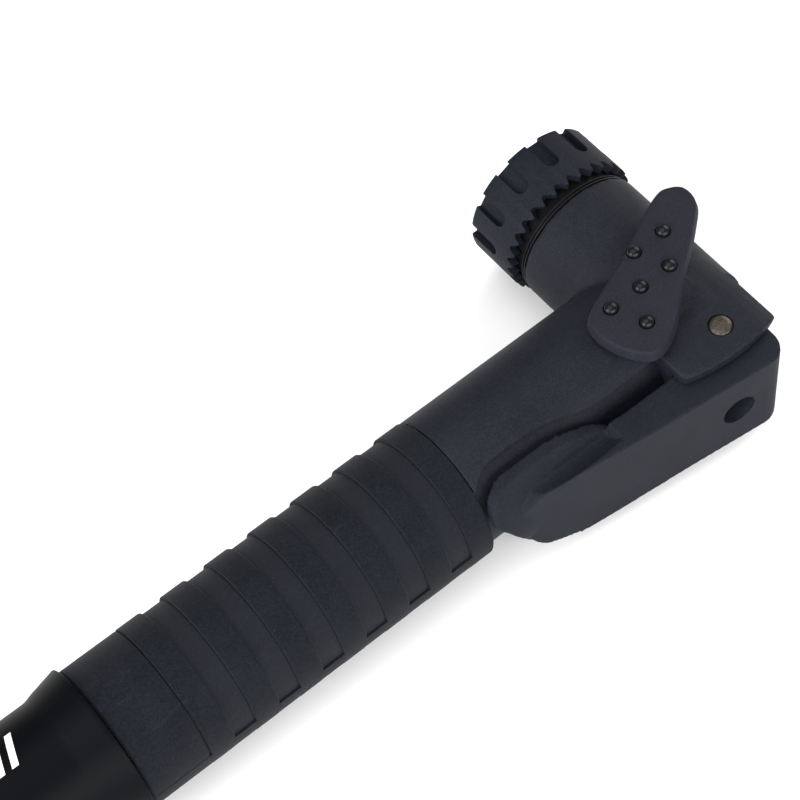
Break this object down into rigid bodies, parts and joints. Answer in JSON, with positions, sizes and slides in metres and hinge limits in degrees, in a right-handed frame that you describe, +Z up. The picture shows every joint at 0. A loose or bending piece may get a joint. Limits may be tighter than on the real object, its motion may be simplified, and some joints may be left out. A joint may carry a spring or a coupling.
{
  "type": "hand-held bicycle pump",
  "caption": "Black hand-held bicycle pump with banded rubber grip, pull-out handle tube, lever-locked valve head, toothed screw collar and studded selector tab.",
  "frame": {"origin": "middle of the pump's bounding box at its lowest level, with the pump lying on its side", "axes": "+X along the barrel toward the valve head, +Y the way the valve outlet faces, +Z up along the lever pin"},
  "size_m": [0.2724, 0.0608, 0.0317],
  "materials": {
    "shell": "moulded head shell, fine mould grain, satin",
    "grip": "matte rubber with raised bands",
    "handle": "smooth satin black tube",
    "lever": "matte moulded plastic",
    "detent": "dark polished ring",
    "seal": "black seal rubber",
    "rivet": "brown-grey rivet steel, slightly worn",
    "steel": "drawn steel",
    "alloy": "drawn aluminium tube",
    "stud": "glossy domed studs",
    "nylon": "glass-filled nylon"
  },
  "bodies": {
    "pump_body": {"head_shell": "shell", "plunger_stem_seal": "seal", "detent_ring": "detent", "valve_grommet": "seal", "lever_pin": "rivet", "barrel_tube": "alloy", "barrel_gasket": "seal", "check_valve_seat": "nylon", "grip_sleeve": "grip", "barrel_bush": "nylon"},
    "collar": {"valve_collar": "shell"},
    "plunger_body": {"plunger": "nylon", "plunger_head_seal": "seal"},
    "lever": {"lock_lever": "lever"},
    "selector": {"selector_tab": "shell", "selector_spindle": "steel", "spindle_seal": "seal", "tab_stud_1": "stud", "tab_stud_2": "stud", "tab_stud_3": "stud", "tab_stud_4": "stud", "tab_stud_5": "stud", "tab_stud_6": "stud"},
    "check_disc": {"check_valve_disc": "seal"},
    "piston_body": {"piston": "nylon", "piston_seal": "seal"},
    "handle": {"handle_tube": "handle", "handle_end_cap": "handle", "end_cap_screw": "steel", "piston_rod": "steel", "piston_nut": "steel"}
  },
  "joints": [
    {"name": "handle_slide", "type": "slide", "parent": "pump_body", "child": "piston_body", "axis": [-1, 0, 0], "range_m": [0, 0.2]},
    {"name": "handle_spin", "type": "hinge", "parent": "piston_body", "child": "handle", "pos_m": [0.09735, -0.00783, 0.0143], "axis": [1, 0, 0], "continuous": true},
    {"name": "lever_hinge", "type": "hinge", "parent": "pump_body", "child": "lever", "pos_m": [0.12235, -0.02022, 0.0143], "axis": [0, 0, 1], "range_deg": [0, 90]},
    {"name": "plunger_slide", "type": "slide", "parent": "pump_body", "child": "plunger_body", "axis": [0, 1, 0], "range_m": [0, 0.0023]},
    {"name": "collar_turn", "type": "hinge", "parent": "pump_body", "child": "collar", "pos_m": [0.12235, 0.02218, 0.0143], "axis": [0, 1, 0], "continuous": true},
    {"name": "selector_turn", "type": "hinge", "parent": "pump_body", "child": "selector", "pos_m": [0.11785, -0.00783, 0.0293], "axis": [0, 0, 1], "range_deg": [-70, 0]},
    {"name": "check_disc_lift", "type": "slide", "parent": "pump_body", "child": "check_disc", "axis": [1, 0, 0], "range_m": [0, 0.0009]}
  ],
  "couplings": [
    {"joint": "plunger_slide", "follows": "lever_hinge", "m_per_rad": 0.0014}
  ]
}
